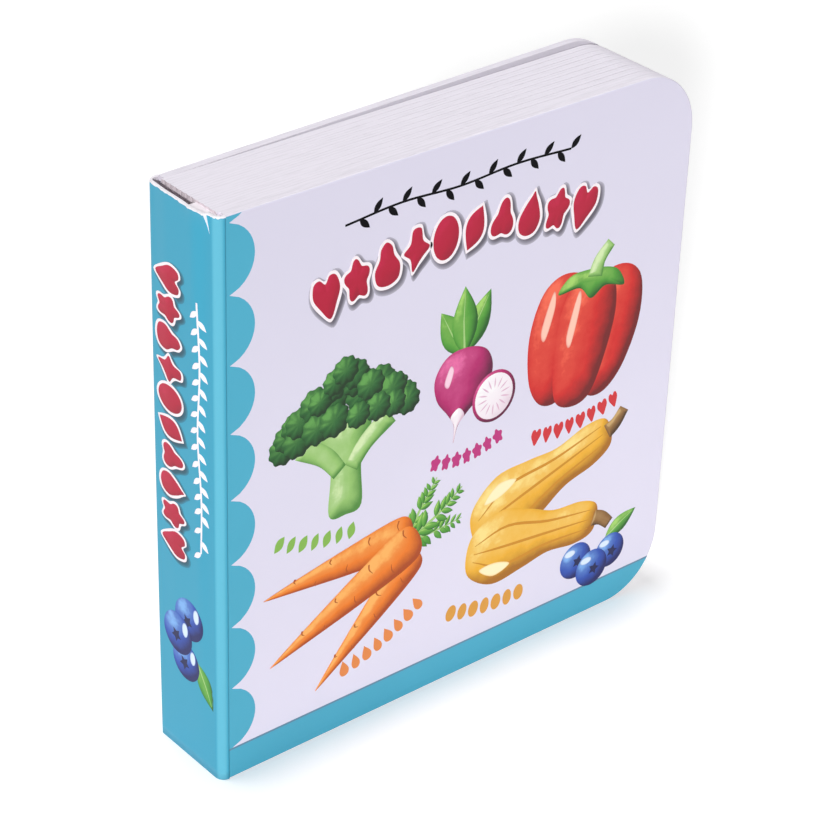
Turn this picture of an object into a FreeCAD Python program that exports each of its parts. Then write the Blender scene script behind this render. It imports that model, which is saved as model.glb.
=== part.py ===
import FreeCAD, Part
import math
import os

import Sketcher

# A small, thick board book standing on its tail, with its covers closed.
#
# Ten card leaves stand behind one another. Each leaf is two halves of neighbouring spreads glued
# back to back, so every spread leaves a rounded fold on the back of the block, and the leaves are
# joined only there. They fan apart a little towards the fore edge. A printed card wrap goes round
# them: a front and a back cover, a little thicker than a leaf, and a thin spine panel between them.
# The fold along the panel's front edge is round and the one along its back edge is tight. The panel
# stands clear of the block, with a strip of glue behind its front edge. The covers turn on creases
# at one distance from the outer face of the spine. The back cover stands a little open.
#
# Every piece is drawn in the book's own frame and then placed: x runs from the outer face of the
# spine to the fore edge, y from the outer face of the front cover to the back, z from tail to head.
# The placed book has its origin under the middle of its box, so it stands on z = 0.

# Driving dimensions in millimetres, with the two openings in degrees.
DRIVING_SIZES = [
    ("book_width", 100.6, "outer face of the spine to the fore edge"),
    ("book_height", 106.0, "tail to head"),
    ("corner_radius", 12.0, "round-cornered fore edge of covers and leaves"),
    ("cover_thickness", 1.74, "wrap card and the board glued behind it"),
    ("cover_edge_round", 0.35, "outer edge of a cover, rounded by the cutting knife"),
    ("leaf_thickness", 1.43, "one leaf, two card halves glued back to back"),
    ("leaf_count", 10, "leaves between the covers"),
    ("leaf_fan_angle", 0.075, "degrees between one leaf and the next"),
    ("back_opening_angle", 1.28, "degrees between the last leaf and the back cover"),
    ("wrap_thickness", 0.45, "card of the spine panel and its folds"),
    ("front_fold_radius", 1.7, "outer radius of the fold along the front of the spine, up to its crease"),
    ("back_fold_radius", 0.7, "outer radius of the tight fold along the back of the spine"),
    ("spine_hollow", 0.8, "inside of the spine panel to the back of the leaves"),
    ("fold_depth", 0.15, "valley between two neighbouring spread folds"),
    ("glue_width", 5.4, "glue strip, measured across the spine"),
    ("glue_end_gap", 0.5, "glue strip short of head and tail"),
]

doc = FreeCAD.newDocument("board_book")
sheet = doc.addObject("Spreadsheet::Sheet", "Sizes")
for row, (alias, value, note) in enumerate(DRIVING_SIZES, start=1):
    sheet.set(f"A{row}", note)
    sheet.set(f"B{row}", str(value))
    sheet.setAlias(f"B{row}", alias)
doc.recompute()

leaf_count = int(sheet.get("leaf_count"))

# Sizes that follow from the driving ones, as expressions that sketches and placements share.
CREASE_X = "Sizes.front_fold_radius"
COVER_LENGTH = f"(Sizes.book_width - {CREASE_X})"
SPINE_WIDTH = "(2 * Sizes.cover_thickness + Sizes.leaf_count * Sizes.leaf_thickness)"
BLOCK_BACK_X = "(Sizes.wrap_thickness + Sizes.spine_hollow)"
LEAF_ROOT_X = f"({BLOCK_BACK_X} + Sizes.leaf_thickness / 2)"
BACK_ANGLE = "((Sizes.leaf_count - 1) * Sizes.leaf_fan_angle + Sizes.back_opening_angle)"
BOX_DEPTH = f"({SPINE_WIDTH} + {COVER_LENGTH} * sin({BACK_ANGLE}))"
BEAD_RADIUS = "((Sizes.fold_depth^2 + (Sizes.leaf_thickness / 2)^2) / (2 * Sizes.fold_depth))"


def size(expression):
    """The value of an expression of the sheet, for where a sketch is first drawn."""
    return float(getattr(sheet.evalExpression(expression), "Value", sheet.evalExpression(expression)))


def new_body(name):
    """A body whose label names its file."""
    body = doc.addObject("PartDesign::Body", name)
    body.Label = name
    return body


def new_sketch(body, name, role):
    """A sketch on one of the body's own origin planes."""
    plane = next(item for item in body.Origin.OriginFeatures if item.Role == role)
    sketch = body.newObject("Sketcher::SketchObject", name)
    sketch.AttachmentSupport = (plane, [""])
    sketch.MapMode = "FlatFace"
    return sketch


def place(body, base_x, base_y, angle="0"):
    """Moves a body from the book's frame to its place, turned about the vertical."""
    body.Placement = FreeCAD.Placement(FreeCAD.Vector(), FreeCAD.Rotation(FreeCAD.Vector(0, 0, 1), 0))
    body.setExpression("Placement.Base.x", f"{base_x} - Sizes.book_width / 2")
    body.setExpression("Placement.Base.y", f"{base_y} - {BOX_DEPTH} / 2")
    body.setExpression("Placement.Rotation.Angle", angle)


class Outline:
    """A closed outline of lines and arcs, drawn where the sheet puts it and bound to the sheet."""

    START, END, CENTRE = range(1, 4)
    ORIGIN = (-1, START)

    def __init__(self, sketch):
        self.sketch = sketch

    def line(self, start, end):
        segment = Part.LineSegment(FreeCAD.Vector(*start, 0), FreeCAD.Vector(*end, 0))
        return self.sketch.addGeometry(segment, False)

    def arc(self, centre, radius, start_angle, end_angle):
        circle = Part.Circle(FreeCAD.Vector(*centre, 0), FreeCAD.Vector(0, 0, 1), radius)
        arc = Part.ArcOfCircle(circle, math.radians(start_angle), math.radians(end_angle))
        return self.sketch.addGeometry(arc, False)

    def bind(self, kind, *where, name, expression):
        """A named dimension whose value comes from the sheet."""
        value = size(expression)
        number = self.sketch.addConstraint(Sketcher.Constraint(kind, *where, value))
        self.sketch.renameConstraint(number, name)
        self.sketch.setExpression(f"Constraints.{name}", expression)

    def pin(self, geometry, point, name, x_expression=None, y_expression=None):
        """Holds a point at its distances from the sketch's origin."""
        if x_expression:
            self.bind("DistanceX", *self.ORIGIN, geometry, point, name=f"{name}_x", expression=x_expression)
        if y_expression:
            self.bind("DistanceY", *self.ORIGIN, geometry, point, name=f"{name}_y", expression=y_expression)

    def join(self, first, first_point, second, second_point):
        self.sketch.addConstraint(
            Sketcher.Constraint("Coincident", first, first_point, second, second_point)
        )

    def rule(self, kind, *where):
        self.sketch.addConstraint(Sketcher.Constraint(kind, *where))


def cover_outline(body):
    """A cover's outline on its own face: square at the crease, round-cornered at the fore edge."""
    length = size(COVER_LENGTH)
    height = size("Sizes.book_height")
    radius = size("Sizes.corner_radius")
    sketch = new_sketch(body, f"{body.Name}_outline", "XZ_Plane")
    outline = Outline(sketch)
    tail = outline.line((0, 0), (length - radius, 0))
    tail_corner = outline.arc((length - radius, radius), radius, -90, 0)
    fore = outline.line((length, radius), (length, height - radius))
    head_corner = outline.arc((length - radius, height - radius), radius, 0, 90)
    head = outline.line((length - radius, height), (0, height))
    crease = outline.line((0, height), (0, 0))
    outline.rule("Tangent", tail, outline.END, tail_corner, outline.START)
    outline.rule("Tangent", tail_corner, outline.END, fore, outline.START)
    outline.rule("Tangent", fore, outline.END, head_corner, outline.START)
    outline.rule("Tangent", head_corner, outline.END, head, outline.START)
    outline.join(head, outline.END, crease, outline.START)
    outline.join(crease, outline.END, tail, outline.START)
    outline.join(crease, outline.END, *outline.ORIGIN)
    outline.rule("Vertical", crease)
    outline.rule("Vertical", fore)
    outline.rule("Horizontal", tail)
    outline.rule("Horizontal", head)
    outline.rule("Equal", tail_corner, head_corner)
    outline.bind("Radius", tail_corner, name="corner", expression="Sizes.corner_radius")
    outline.pin(fore, outline.START, "fore", x_expression=COVER_LENGTH)
    outline.pin(head, outline.END, "head", y_expression="Sizes.book_height")
    return sketch


def outer_edges(shape, face_y):
    """Names of the edges round a cover's outer face, apart from the one at its crease."""
    names = []
    for number, edge in enumerate(shape.Edges, start=1):
        on_face = all(abs(vertex.Point.y - face_y) < 1e-6 for vertex in edge.Vertexes)
        off_crease = edge.BoundBox.XMax > 1e-6
        if on_face and off_crease:
            names.append(f"Edge{number}")
    return names


def make_cover(name, inwards, base_y, angle="0"):
    """A cover drawn from its crease, with its outer face at y = 0 and its board on the inside."""
    body = new_body(name)
    sketch = cover_outline(body)
    board = body.newObject("PartDesign::Pad", f"{name}_board")
    board.Profile = sketch
    board.setExpression("Length", "Sizes.cover_thickness")
    board.Reversed = inwards
    doc.recompute()
    edge_round = body.newObject("PartDesign::Fillet", f"{name}_edge")
    edge_round.Base = (board, outer_edges(board.Shape, 0.0))
    edge_round.setExpression("Radius", "Sizes.cover_edge_round")
    body.Tip = edge_round
    place(body, CREASE_X, base_y, angle)
    return body


def make_spine_panel():
    """The thin panel of the wrap, with a round front fold, and a tight back fold and a flat behind it."""
    body = new_body("spine_panel")
    front = size("Sizes.front_fold_radius")
    back = size("Sizes.back_fold_radius")
    crease = size(CREASE_X)
    wall = size("Sizes.wrap_thickness")
    width = size(SPINE_WIDTH)
    sketch = new_sketch(body, "spine_section", "XY_Plane")
    outline = Outline(sketch)
    front_outer = outline.arc((front, front), front, 180, 270)
    front_end = outline.line((front, 0), (front, wall))
    front_inner = outline.arc((front, front), front - wall, 180, 270)
    inside = outline.line((wall, front), (wall, width - back))
    back_inner = outline.arc((back, width - back), back - wall, 90, 180)
    flat_inner = outline.line((back, width - wall), (crease, width - wall))
    back_end = outline.line((crease, width - wall), (crease, width))
    flat_outer = outline.line((crease, width), (back, width))
    back_outer = outline.arc((back, width - back), back, 90, 180)
    outside = outline.line((0, width - back), (0, front))
    outline.join(front_outer, outline.END, front_end, outline.START)
    outline.join(front_end, outline.END, front_inner, outline.END)
    outline.rule("Tangent", front_inner, outline.START, inside, outline.START)
    outline.rule("Tangent", inside, outline.END, back_inner, outline.END)
    outline.rule("Tangent", back_inner, outline.START, flat_inner, outline.START)
    outline.join(flat_inner, outline.END, back_end, outline.START)
    outline.join(back_end, outline.END, flat_outer, outline.START)
    outline.rule("Tangent", flat_outer, outline.END, back_outer, outline.START)
    outline.rule("Tangent", back_outer, outline.END, outside, outline.START)
    outline.rule("Tangent", outside, outline.END, front_outer, outline.START)
    outline.join(front_outer, outline.CENTRE, front_inner, outline.CENTRE)
    outline.join(back_outer, outline.CENTRE, back_inner, outline.CENTRE)
    outline.rule("Vertical", outside)
    outline.rule("Vertical", inside)
    outline.rule("Vertical", front_end)
    outline.rule("Vertical", back_end)
    outline.rule("Horizontal", flat_inner)
    outline.rule("Horizontal", flat_outer)
    outline.bind("Radius", front_outer, name="front_fold", expression="Sizes.front_fold_radius")
    outline.bind("Radius", back_outer, name="back_fold", expression="Sizes.back_fold_radius")
    front_y = "Sizes.front_fold_radius"
    back_y = f"{SPINE_WIDTH} - Sizes.back_fold_radius"
    outline.pin(front_outer, outline.CENTRE, "front", "Sizes.front_fold_radius", front_y)
    outline.pin(back_outer, outline.CENTRE, "back", y_expression=back_y)
    outline.bind(
        "DistanceX",
        outside,
        outline.START,
        inside,
        outline.END,
        name="wall",
        expression="Sizes.wrap_thickness",
    )
    outline.pin(front_end, outline.START, "front_end", x_expression=CREASE_X)
    outline.pin(back_end, outline.START, "back_end", x_expression=CREASE_X)
    panel = body.newObject("PartDesign::Pad", "spine_panel_card")
    panel.Profile = sketch
    panel.setExpression("Length", "Sizes.book_height")
    body.Tip = panel
    place(body, "0", "0")
    return body


def leaf_y(number):
    """The y of the face between leaf number - 1 and leaf number, at the root of the leaves."""
    return f"(Sizes.cover_thickness + {number} * Sizes.leaf_thickness)"


def fore_y(number, leaf):
    """Where that face, turned with the given leaf, meets the fore edge."""
    return f"({leaf_y(number)} + (Sizes.book_width - {LEAF_ROOT_X}) * tan({leaf} * Sizes.leaf_fan_angle))"


def page_section(body):
    """The block from above: leaves that fan from their folds, like a comb with wedge-shaped gaps."""
    back_x = size(BLOCK_BACK_X)
    root_x = size(LEAF_ROOT_X)
    fore_x = size("Sizes.book_width")
    bead = size(BEAD_RADIUS)
    half_turn = math.degrees(math.asin(size("Sizes.leaf_thickness") / 2 / bead))
    sketch = new_sketch(body, "page_section", "XY_Plane")
    outline = Outline(sketch)
    last = leaf_count

    # The folds, from the front of the block to its back. The first and last are half folds.
    beads = []
    for number in range(last + 1):
        start = 180 - (half_turn if number < last else 0)
        end = 180 + (half_turn if number > 0 else 0)
        centre = (back_x + bead, size(leaf_y(number)))
        arc = outline.arc(centre, bead, start, end)
        centre_x = f"{BLOCK_BACK_X} + {BEAD_RADIUS}"
        outline.pin(arc, outline.CENTRE, f"bead_{number}", centre_x, leaf_y(number))
        beads.append(arc)
    outline.bind("Radius", beads[0], name="bead_radius", expression=BEAD_RADIUS)
    for number in range(1, last + 1):
        outline.rule("Equal", beads[0], beads[number])
        outline.join(beads[number - 1], outline.START, beads[number], outline.END)

    # The front face of the block lies flat on the front cover.
    front = outline.line((back_x, size(leaf_y(0))), (fore_x, size(leaf_y(0))))
    outline.join(beads[0], outline.END, front, outline.START)
    outline.rule("Horizontal", front)
    outline.pin(front, outline.START, "front", y_expression=leaf_y(0))
    outline.pin(front, outline.END, "fore", x_expression="Sizes.book_width")

    # Each leaf has a cut edge at the fore edge, and a wedge-shaped gap between it and the next.
    face = front
    for leaf in range(last):
        next_face = leaf + 1
        edge_start = (fore_x, size(fore_y(leaf, leaf)))
        edge_end = (fore_x, size(fore_y(next_face, leaf)))
        cut_edge = outline.line(edge_start, edge_end)
        outline.join(face, outline.END, cut_edge, outline.START)
        outline.rule("Vertical", cut_edge)
        outline.pin(cut_edge, outline.END, f"leaf_{leaf}_fore", y_expression=fore_y(next_face, leaf))
        root = (root_x, size(leaf_y(next_face)))
        back_of_leaf = outline.line(edge_end, root)
        outline.join(cut_edge, outline.END, back_of_leaf, outline.START)
        outline.pin(back_of_leaf, outline.END, f"leaf_{leaf}_root", LEAF_ROOT_X, leaf_y(next_face))
        if next_face < last:
            face = outline.line(root, (fore_x, size(fore_y(next_face, next_face))))
            outline.join(back_of_leaf, outline.END, face, outline.START)
            face_end = (f"leaf_{next_face}_face", "Sizes.book_width", fore_y(next_face, next_face))
            outline.pin(face, outline.END, *face_end)
    closing = outline.line((root_x, size(leaf_y(last))), (back_x, size(leaf_y(last))))
    outline.join(back_of_leaf, outline.END, closing, outline.START)
    outline.join(closing, outline.END, beads[last], outline.START)
    outline.rule("Horizontal", closing)
    return sketch


def corner_waste(body):
    """What the corner punch takes from the stack at tail and head."""
    fore_x = size("Sizes.book_width")
    height = size("Sizes.book_height")
    radius = size("Sizes.corner_radius")
    sketch = new_sketch(body, "corner_waste", "XZ_Plane")
    outline = Outline(sketch)
    corners = [
        ("tail", -1, "0", "Sizes.corner_radius"),
        ("head", 1, "Sizes.book_height", "Sizes.book_height - Sizes.corner_radius"),
    ]
    for name, way, edge_z, centre_z in corners:
        flat = size(edge_z)
        middle = size(centre_z)
        beyond = flat + way * radius
        angles = (0, 90) if way > 0 else (-90, 0)
        round_cut = outline.arc((fore_x - radius, middle), radius, *angles)
        flat_point, fore_point = (outline.END, outline.START) if way > 0 else (outline.START, outline.END)
        rise = outline.line((fore_x - radius, flat), (fore_x - radius, beyond))
        across = outline.line((fore_x - radius, beyond), (fore_x + radius, beyond))
        drop = outline.line((fore_x + radius, beyond), (fore_x + radius, middle))
        back = outline.line((fore_x + radius, middle), (fore_x, middle))
        outline.join(round_cut, flat_point, rise, outline.START)
        outline.join(rise, outline.END, across, outline.START)
        outline.join(across, outline.END, drop, outline.START)
        outline.join(drop, outline.END, back, outline.START)
        outline.join(back, outline.END, round_cut, fore_point)
        outline.rule("Vertical", rise)
        outline.rule("Horizontal", across)
        outline.rule("Vertical", drop)
        outline.rule("Horizontal", back)
        outline.rule("Equal", rise, back)
        outline.bind("Radius", round_cut, name=f"{name}_radius", expression="Sizes.corner_radius")
        outline.pin(round_cut, outline.CENTRE, name, "Sizes.book_width - Sizes.corner_radius", centre_z)
        outline.rule("Vertical", round_cut, outline.CENTRE, round_cut, flat_point)
        outline.rule("Horizontal", round_cut, outline.CENTRE, round_cut, fore_point)
        outline.bind(
            "DistanceX",
            back,
            outline.END,
            back,
            outline.START,
            name=f"{name}_beyond",
            expression="Sizes.corner_radius",
        )
    return sketch


def make_page_block():
    """All the leaves in one solid, joined by the folds of their spreads, with punched corners."""
    body = new_body("page_block")
    leaves = body.newObject("PartDesign::Pad", "leaves")
    leaves.Profile = page_section(body)
    leaves.setExpression("Length", "Sizes.book_height")
    doc.recompute()
    solid_before = leaves.Shape.Volume
    punch = body.newObject("PartDesign::Pocket", "corner_punch")
    punch.Profile = corner_waste(body)
    punch.Type = "ThroughAll"
    body.Tip = punch
    place(body, "0", "0")
    doc.recompute()
    if not punch.Shape.Volume < solid_before:
        raise ValueError("the corner punch cut nothing")
    return body


def make_spine_glue():
    """The strip of glue that holds the front edge of the spine panel to the folds."""
    body = new_body("spine_glue")
    glue = body.newObject("PartDesign::AdditiveBox", "glue_strip")
    glue.setExpression("Length", "Sizes.spine_hollow")
    glue.setExpression("Width", "Sizes.glue_width")
    glue.setExpression("Height", "Sizes.book_height - 2 * Sizes.glue_end_gap")
    glue.setExpression("Placement.Base.z", "Sizes.glue_end_gap")
    place(body, "Sizes.wrap_thickness", "Sizes.front_fold_radius")
    return body


bodies = [
    make_cover("front_cover", True, "0"),
    make_cover("back_cover", False, SPINE_WIDTH, BACK_ANGLE),
    make_spine_panel(),
    make_page_block(),
    make_spine_glue(),
]
doc.recompute()

for item in doc.Objects:
    if "Invalid" in item.State or "Error" in item.State:
        raise ValueError(f"{item.Name} failed: {item.State}")

os.makedirs("parts", exist_ok=True)
for body in bodies:
    shape = body.Shape
    if shape.isNull() or not shape.isValid() or len(shape.Solids) != 1:
        raise ValueError(f"{body.Label} is not one sound solid")
    shape.exportStep(f"parts/{body.Label}.step")
    box = shape.optimalBoundingBox(False)
    print(
        f"{body.Label}: volume {shape.Volume:.1f} mm3, x {box.XMin:.3f} to {box.XMax:.3f}, "
        f"y {box.YMin:.3f} to {box.YMax:.3f}, z {box.ZMin:.3f} to {box.ZMax:.3f}"
    )
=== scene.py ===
"""A small board book standing on its tail, seen from in front of its spine and above.

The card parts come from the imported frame. This file gives them their finishes, prints the covers
and the spine with thin ink shapes, and sets the camera, the floor and the light.
"""

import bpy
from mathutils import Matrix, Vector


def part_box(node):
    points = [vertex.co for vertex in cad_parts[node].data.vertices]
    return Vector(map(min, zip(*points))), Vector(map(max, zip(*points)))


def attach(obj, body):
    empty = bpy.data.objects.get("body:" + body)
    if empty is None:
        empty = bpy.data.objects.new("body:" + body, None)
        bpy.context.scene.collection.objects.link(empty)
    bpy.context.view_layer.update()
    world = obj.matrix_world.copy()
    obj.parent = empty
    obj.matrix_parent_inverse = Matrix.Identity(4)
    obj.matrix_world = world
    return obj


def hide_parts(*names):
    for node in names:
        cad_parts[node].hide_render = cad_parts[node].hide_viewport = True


bl_info = {
    "name": "Board Book",
    "version": (1, 0, 0),
    "blender": (4, 5, 0),
    "location": "View3D > Sidebar > Board Book",
    "description": "Finishes and prints a board book",
    "category": "Add Mesh",
}

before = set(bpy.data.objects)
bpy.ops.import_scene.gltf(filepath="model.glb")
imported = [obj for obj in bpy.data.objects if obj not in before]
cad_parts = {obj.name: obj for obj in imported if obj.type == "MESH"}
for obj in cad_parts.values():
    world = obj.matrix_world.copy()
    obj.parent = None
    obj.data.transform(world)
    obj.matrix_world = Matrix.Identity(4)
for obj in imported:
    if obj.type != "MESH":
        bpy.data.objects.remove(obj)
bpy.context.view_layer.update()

import math
import random

import bmesh
import bpy
from mathutils import Matrix, Vector

MM = 0.001
SPINE_LOW, SPINE_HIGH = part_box("spine_panel")
FRONT_LOW, FRONT_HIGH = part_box("front_cover")
BOOK_WIDTH = (FRONT_HIGH.x - SPINE_LOW.x) / MM
BOOK_HEIGHT = (FRONT_HIGH.z - FRONT_LOW.z) / MM
SPINE_WIDTH = (SPINE_HIGH.y - SPINE_LOW.y) / MM
CREASE = (SPINE_HIGH.x - SPINE_LOW.x) / MM
# Where the spine's face and the front cover's face would meet at the tail.
NEAR_CORNER = Vector((SPINE_LOW.x, FRONT_LOW.y, FRONT_LOW.z))
COVER = (FRONT_HIGH.y - FRONT_LOW.y) / MM


def linear(hex_value):
    """An sRGB hex colour as linear red, green, blue and alpha."""
    channels = [int(hex_value[place : place + 2], 16) / 255 for place in (1, 3, 5)]
    return (*[((c + 0.055) / 1.055) ** 2.4 if c > 0.04045 else c / 12.92 for c in channels], 1.0)


def colour(name, description, hex_value):
    """A colour that the user can change."""
    default = linear(hex_value)
    return bpy.props.FloatVectorProperty(
        name=name, description=description, default=default, subtype="COLOR", size=4, min=0.0, max=1.0
    )


def length(name, description, millimetres):
    """A length that the user can change."""
    default = millimetres * MM
    return bpy.props.FloatProperty(
        name=name, description=description, default=default, subtype="DISTANCE", unit="LENGTH", min=0.0
    )


def add_object(name, data):
    """An object in the scene, with its mesh, its lens or its light."""
    made = bpy.data.objects.new(name, data)
    bpy.context.scene.collection.objects.link(made)
    return made


def set_materials(mesh, materials, kinds):
    """Gives a mesh its materials, and each face the number of its own."""
    mesh.materials.clear()
    for material in materials:
        mesh.materials.append(material)
    mesh.polygons.foreach_set("material_index", kinds)


class BoardBookSizes(bpy.types.PropertyGroup):
    """Sizes of the print."""

    scallop_pitch: length("Scallop pitch", "Head to tail, one scallop of the border", 12.3)
    scallop_depth: length("Scallop depth", "How far a scallop reaches over the cover", 4.8)
    scallop_root: length("Scallop root", "Where two scallops meet, from the spine's face", 2.3)
    band_height: length("Band height", "Coloured band along the tail", 6.25)
    band_line: length("Band line", "Dark line on top of the band", 0.4)
    bare_rim: length("Bare rim", "Unprinted card at the rounded edges", 0.2)
    outline_width: length("Outline width", "White line round the shapes of a garland", 0.6)


class BoardBookColours(bpy.types.PropertyGroup):
    """Colours of the card and of the main inks."""

    ground: colour("Cover ground", "Pale ground of the covers at the head", "#DAD6E8")
    ground_low: colour("Low ground", "Pale ground of the covers at the tail", "#E4E0F2")
    card: colour("Card", "Cut edges of the card", "#ECE7F1")
    teal: colour("Border", "Scalloped border and band", "#4AACC9")
    spine: colour("Spine", "Face of the spine", "#379FBE")
    # The fold colour is partly film stretched over the front fold and partly a painted highlight there.
    fold: colour("Fold", "Film stretched over the front fold", "#5CB3CC")
    band_line: colour("Band line", "Line on top of the band", "#5F8AA4")
    black: colour("Sprig", "Thin sprig over the garland", "#0C0B0F")


# Nodes and materials


def add_node(tree, kind, links=None, **settings):
    """Adds a node, sets its properties, and fills or links its sockets.

    A node given as a value stands for its first output.
    """
    made = tree.nodes.new(kind)
    for name, value in settings.items():
        setattr(made, name, value)
    for socket, value in (links or {}).items():
        if isinstance(value, bpy.types.Node):
            value = value.outputs[0]
        if isinstance(value, bpy.types.NodeSocket):
            tree.links.new(value, made.inputs[socket])
        else:
            made.inputs[socket].default_value = value
    return made


SPECULAR = 0.3


def new_material(name, roughness, ior=1.5):
    """A material with its node tree and its surface shader."""
    material = bpy.data.materials.new(name)
    material.use_nodes = True
    shader = material.node_tree.nodes["Principled BSDF"]
    shader.inputs["Roughness"].default_value = roughness
    shader.inputs["IOR"].default_value = ior
    shader.inputs["Specular IOR Level"].default_value = SPECULAR
    return material, material.node_tree, shader


def colour_surface(tree, shader, share, stops, interpolation="LINEAR"):
    """Runs the surface's colour through stops, each a position and a colour.

    The first two stops are the ends.
    """
    ramp = add_node(tree, "ShaderNodeValToRGB", {"Fac": share})
    ramp.color_ramp.interpolation = interpolation
    places = ramp.color_ramp.elements
    for number, (position, tint) in enumerate(stops):
        stop = places[number] if number < 2 else places.new(position)
        stop.position = position
        stop.color = tint
    tree.links.new(ramp.outputs["Color"], shader.inputs["Base Color"])


def dimmed(tint, share):
    """A colour at a share of its strength."""
    return (*[channel * share for channel in tint[:3]], 1.0)


def per_mm(size):
    """The scale of a pattern in metres whose grain is this many millimetres."""
    return 1.0 / (size * MM)


def laminated_material(name):
    """Gloss film over board: broad waves from the board, and a fine peel from the film."""
    material, tree, shader = new_material(name, 0.42, 1.49)
    place = add_node(tree, "ShaderNodeTexCoord").outputs["Object"]
    waves = add_node(tree, "ShaderNodeTexNoise", {"Vector": place, "Scale": per_mm(9.0), "Detail": 1.0})
    peel = add_node(tree, "ShaderNodeTexNoise", {"Vector": place, "Scale": per_mm(0.8), "Detail": 2.0})
    broad = add_node(tree, "ShaderNodeBump", {"Height": waves, "Strength": 0.25, "Distance": 0.12 * MM})
    fine = {"Height": peel, "Strength": 0.25, "Distance": 0.01 * MM, "Normal": broad}
    tree.links.new(add_node(tree, "ShaderNodeBump", fine).outputs["Normal"], shader.inputs["Normal"])
    return material, tree, shader, place


def laminated_ground(name, tint, low_tint):
    """White-lined board under gloss film, printed with a pale tint. The colour runs from one tint at the
    tail to another at the head.
    """
    material, tree, shader, place = laminated_material(name)
    clouds = add_node(tree, "ShaderNodeTexNoise", {"Vector": place, "Scale": per_mm(30.0), "Detail": 2.0})
    limits = {"Value": clouds, "From Min": 0.35, "From Max": 0.65, "To Min": -0.08, "To Max": 0.08}
    cloud = add_node(tree, "ShaderNodeMapRange", limits)
    height = add_node(tree, "ShaderNodeSeparateXYZ", {"Vector": place}).outputs["Z"]
    rise = add_node(tree, "ShaderNodeMapRange", {"Value": height, "From Max": BOOK_HEIGHT * MM})
    share = add_node(tree, "ShaderNodeMath", {0: rise, 1: cloud}, operation="ADD")
    colour_surface(tree, shader, share, [(0.0, low_tint), (1.0, tint)])
    return material


# Half a leaf, as each leaf is two cards glued together.
PLY = 0.715
# How much the leaves spread for each metre from the spine.
LEAF_SPREAD = 0.9


def ply_joints_and_gap_shade(tree, place):
    """Dark lines that fan out with the leaves: glue joints where the two plies of a leaf meet, and painted
    shade in the gaps between leaves.
    """
    across = add_node(tree, "ShaderNodeSeparateXYZ", {"Vector": place})
    behind_cover = {0: across.outputs["Y"], 1: -(FRONT_LOW.y + COVER * MM)}
    depth = add_node(tree, "ShaderNodeMath", behind_cover, operation="ADD")
    from_spine = {0: across.outputs["X"], 1: LEAF_SPREAD, 2: 1 - LEAF_SPREAD * SPINE_LOW.x}
    spread = add_node(tree, "ShaderNodeMath", from_spine, operation="MULTIPLY_ADD")
    plies = add_node(tree, "ShaderNodeMath", {0: depth, 1: spread}, operation="DIVIDE")
    number = add_node(tree, "ShaderNodeMath", {0: plies, 1: per_mm(PLY)}, operation="MULTIPLY")
    apart = add_node(tree, "ShaderNodeMath", {0: number, 1: 0.5}, operation="PINGPONG")
    limits = {"Value": apart, "From Max": 0.17, "To Min": -0.2, "To Max": 0.0}
    return add_node(tree, "ShaderNodeMapRange", limits)


def cut_card(name, tint, layers_along, plies=False):
    """Guillotined card: matt, with fine fibre streaks along its layers, and perhaps dark lines at the
    plies, which are glue joints and painted shade in the gaps between leaves.
    """
    material, tree, shader = new_material(name, 0.85)
    place = add_node(tree, "ShaderNodeTexCoord").outputs["Object"]
    stretch = tuple(0.06 if along else 1.0 for along in layers_along)
    laid = add_node(tree, "ShaderNodeMapping", {"Vector": place, "Scale": stretch})
    grain = {"Vector": laid, "Scale": per_mm(0.35), "Detail": 4.0, "Roughness": 0.7}
    fibres = add_node(tree, "ShaderNodeTexNoise", grain)
    tone, low, high = fibres, 0.25, 0.6
    if plies:
        tone = add_node(tree, "ShaderNodeMath", {0: fibres, 1: ply_joints_and_gap_shade(tree, place)}, operation="ADD")
        low, high = 0.15, 0.5
    colour_surface(tree, shader, tone, [(low, dimmed(tint, 0.84)), (high, tint)])
    bump = add_node(tree, "ShaderNodeBump", {"Height": fibres, "Strength": 0.6, "Distance": 0.05 * MM})
    tree.links.new(bump.outputs["Normal"], shader.inputs["Normal"])
    return material


# The drawn light on a picture comes from its upper left.
DRAWN_LIGHT = Vector((-0.42, 0.50, 0.76)).normalized()


def printed_ink(name, shade, base, light):
    """Offset-printed ink under film. A drawn roundness runs from its shade to its light."""
    material, tree, shader, place = laminated_material(name)
    form = add_node(tree, "ShaderNodeAttribute", attribute_name="form").outputs["Vector"]
    lit = add_node(tree, "ShaderNodeVectorMath", {0: form, 1: DRAWN_LIGHT}, operation="DOT_PRODUCT")
    mottle = {"Vector": place, "Scale": per_mm(2.5), "Detail": 3.0, "Roughness": 0.6}
    grain = add_node(tree, "ShaderNodeTexNoise", mottle)
    limits = {"Value": grain, "From Min": 0.3, "From Max": 0.7, "To Min": -0.08, "To Max": 0.08}
    shift = add_node(tree, "ShaderNodeMapRange", limits)
    tone = add_node(tree, "ShaderNodeMath", {0: lit.outputs["Value"], 1: shift}, operation="ADD")
    shade, base, light = linear(shade), linear(base), linear(light)
    paler = [0.7 * a + 0.3 * b for a, b in zip(base, light)]
    colour_surface(tree, shader, tone, [(0.05, shade), (0.98, light), (0.6, base), (0.85, paler)])
    return material


def faded_ink(name, ground, tint):
    """A soft printed shade or gleam that runs out into the ink round it, made once."""
    if name in bpy.data.materials:
        return bpy.data.materials[name]
    material, tree, shader, _ = laminated_material(name)
    form = add_node(tree, "ShaderNodeAttribute", attribute_name="form").outputs["Vector"]
    depth = add_node(tree, "ShaderNodeSeparateXYZ", {"Vector": form}).outputs["Z"]
    colour_surface(tree, shader, depth, [(0.0, linear(ground)), (0.85, linear(tint))], "EASE")
    return material


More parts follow.
